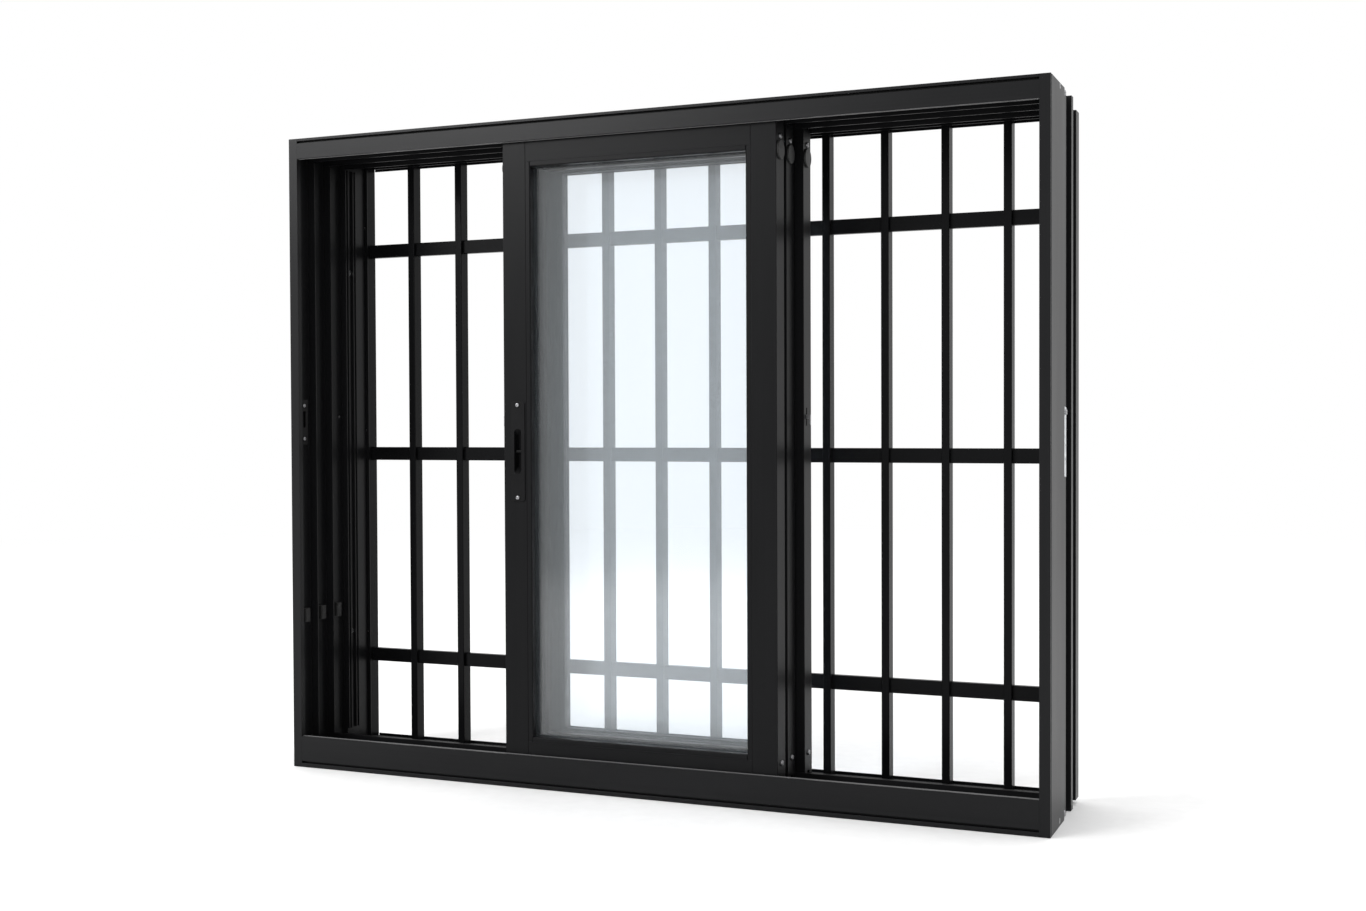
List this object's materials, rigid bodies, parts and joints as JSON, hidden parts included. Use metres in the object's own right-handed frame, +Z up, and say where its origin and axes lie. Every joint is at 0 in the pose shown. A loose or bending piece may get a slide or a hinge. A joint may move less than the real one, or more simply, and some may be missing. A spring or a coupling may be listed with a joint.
{
  "type": "sliding window with security grille",
  "caption": "Black aluminium sliding window frame with glazed sashes on rollers, flush latches and a fixed rear security grille of upright bars and crossbars.",
  "frame": {"origin": "middle of the frame's underside, halfway between the front and back faces", "axes": "+X along the width (to the right seen from the room), +Y from the room to the outside, +Z up"},
  "size_m": [1.2008, 0.226, 1],
  "materials": {
    "frame_black": "satin black powder coat",
    "sash_black": "satin black powder coat",
    "grille_black": "semi-gloss black powder coat",
    "latch_black": "satin black",
    "clear_glass": "clear float glass",
    "rubber_black": "matt",
    "brush_pile": "dense pile",
    "nylon_black": "moulded nylon",
    "nylon_white": "moulded nylon",
    "screw_steel": "zinc plated",
    "galvanised": "hot-dip galvanised"
  },
  "bodies": {
    "frame": {"head": "frame_black", "sill": "frame_black", "left_jamb": "frame_black", "right_jamb": "frame_black", "frame_screws": "screw_steel", "wall_anchor_straps": "galvanised", "strike_plates": "latch_black", "strike_screws": "screw_steel", "jamb_bumpers": "rubber_black", "brush_seals": "brush_pile", "grille_bars": "grille_black", "grille_crossbars": "grille_black", "grille_left_post": "grille_black", "grille_right_post": "grille_black", "grille_bottom_channel": "grille_black", "grille_top_channel": "grille_black"},
    "front_sash": {"front_sash_left_stile": "sash_black", "front_sash_right_stile": "sash_black", "front_sash_top_rail": "sash_black", "front_sash_bottom_rail": "sash_black", "front_sash_glass": "clear_glass", "front_sash_gaskets": "rubber_black", "front_sash_beads": "sash_black", "front_sash_screws": "screw_steel", "front_sash_guides": "nylon_black", "front_sash_roller_carriages": "nylon_black", "front_latch_shell": "latch_black", "front_latch_screws": "screw_steel"},
    "front_left_roller": {"front_sash_left_roller": "nylon_white"},
    "front_right_roller": {"front_sash_right_roller": "nylon_white"},
    "front_latch": {"front_latch_slider": "latch_black", "front_latch_hook": "screw_steel"},
    "middle_sash": {"middle_sash_left_stile": "sash_black", "middle_sash_right_stile": "sash_black", "middle_sash_top_rail": "sash_black", "middle_sash_bottom_rail": "sash_black", "middle_sash_glass": "clear_glass", "middle_sash_gaskets": "rubber_black", "middle_sash_beads": "sash_black", "middle_sash_screws": "screw_steel", "middle_sash_guides": "nylon_black", "middle_sash_roller_carriages": "nylon_black"},
    "middle_left_roller": {"middle_sash_left_roller": "nylon_white"},
    "middle_right_roller": {"middle_sash_right_roller": "nylon_white"},
    "rear_sash": {"rear_sash_left_stile": "sash_black", "rear_sash_right_stile": "sash_black", "rear_sash_top_rail": "sash_black", "rear_sash_bottom_rail": "sash_black", "rear_sash_glass": "clear_glass", "rear_sash_gaskets": "rubber_black", "rear_sash_beads": "sash_black", "rear_sash_screws": "screw_steel", "rear_sash_guides": "nylon_black", "rear_sash_roller_carriages": "nylon_black", "rear_latch_shell": "latch_black", "rear_latch_screws": "screw_steel"},
    "rear_left_roller": {"rear_sash_left_roller": "nylon_white"},
    "rear_right_roller": {"rear_sash_right_roller": "nylon_white"},
    "rear_latch": {"rear_latch_slider": "latch_black", "rear_latch_hook": "screw_steel"}
  },
  "joints": [
    {"name": "front_sash_slide", "type": "slide", "parent": "frame", "child": "front_sash", "axis": [1, 0, 0], "range_m": [-0.37, 0.37]},
    {"name": "front_left_roller_spin", "type": "hinge", "parent": "front_sash", "child": "front_left_roller", "pos_m": [-0.1495, -0.0875, 0.04475], "axis": [0, 1, 0], "continuous": true},
    {"name": "front_right_roller_spin", "type": "hinge", "parent": "front_sash", "child": "front_right_roller", "pos_m": [0.1495, -0.0875, 0.04475], "axis": [0, 1, 0], "continuous": true},
    {"name": "front_latch_slide", "type": "slide", "parent": "front_sash", "child": "front_latch", "axis": [0, 0, 1], "range_m": [-0.009, 0.009]},
    {"name": "middle_sash_slide", "type": "slide", "parent": "frame", "child": "middle_sash", "axis": [1, 0, 0], "range_m": [-0.37, 0.37]},
    {"name": "middle_left_roller_spin", "type": "hinge", "parent": "middle_sash", "child": "middle_left_roller", "pos_m": [-0.1495, -0.0445, 0.04475], "axis": [0, 1, 0], "continuous": true},
    {"name": "middle_right_roller_spin", "type": "hinge", "parent": "middle_sash", "child": "middle_right_roller", "pos_m": [0.1495, -0.0445, 0.04475], "axis": [0, 1, 0], "continuous": true},
    {"name": "rear_sash_slide", "type": "slide", "parent": "frame", "child": "rear_sash", "axis": [1, 0, 0], "range_m": [-0.381, 0.359]},
    {"name": "rear_left_roller_spin", "type": "hinge", "parent": "rear_sash", "child": "rear_left_roller", "pos_m": [-0.1385, -0.0015, 0.04475], "axis": [0, 1, 0], "continuous": true},
    {"name": "rear_right_roller_spin", "type": "hinge", "parent": "rear_sash", "child": "rear_right_roller", "pos_m": [0.1605, -0.0015, 0.04475], "axis": [0, 1, 0], "continuous": true},
    {"name": "rear_latch_slide", "type": "slide", "parent": "rear_sash", "child": "rear_latch", "axis": [0, 0, 1], "range_m": [-0.009, 0.009]}
  ],
  "couplings": [
    {"joint": "front_left_roller_spin", "follows": "front_sash_slide", "rad_per_m": 95.238},
    {"joint": "front_right_roller_spin", "follows": "front_sash_slide", "rad_per_m": 95.238},
    {"joint": "middle_left_roller_spin", "follows": "middle_sash_slide", "rad_per_m": 95.238},
    {"joint": "middle_right_roller_spin", "follows": "middle_sash_slide", "rad_per_m": 95.238},
    {"joint": "rear_left_roller_spin", "follows": "rear_sash_slide", "rad_per_m": 95.238},
    {"joint": "rear_right_roller_spin", "follows": "rear_sash_slide", "rad_per_m": 95.238}
  ]
}
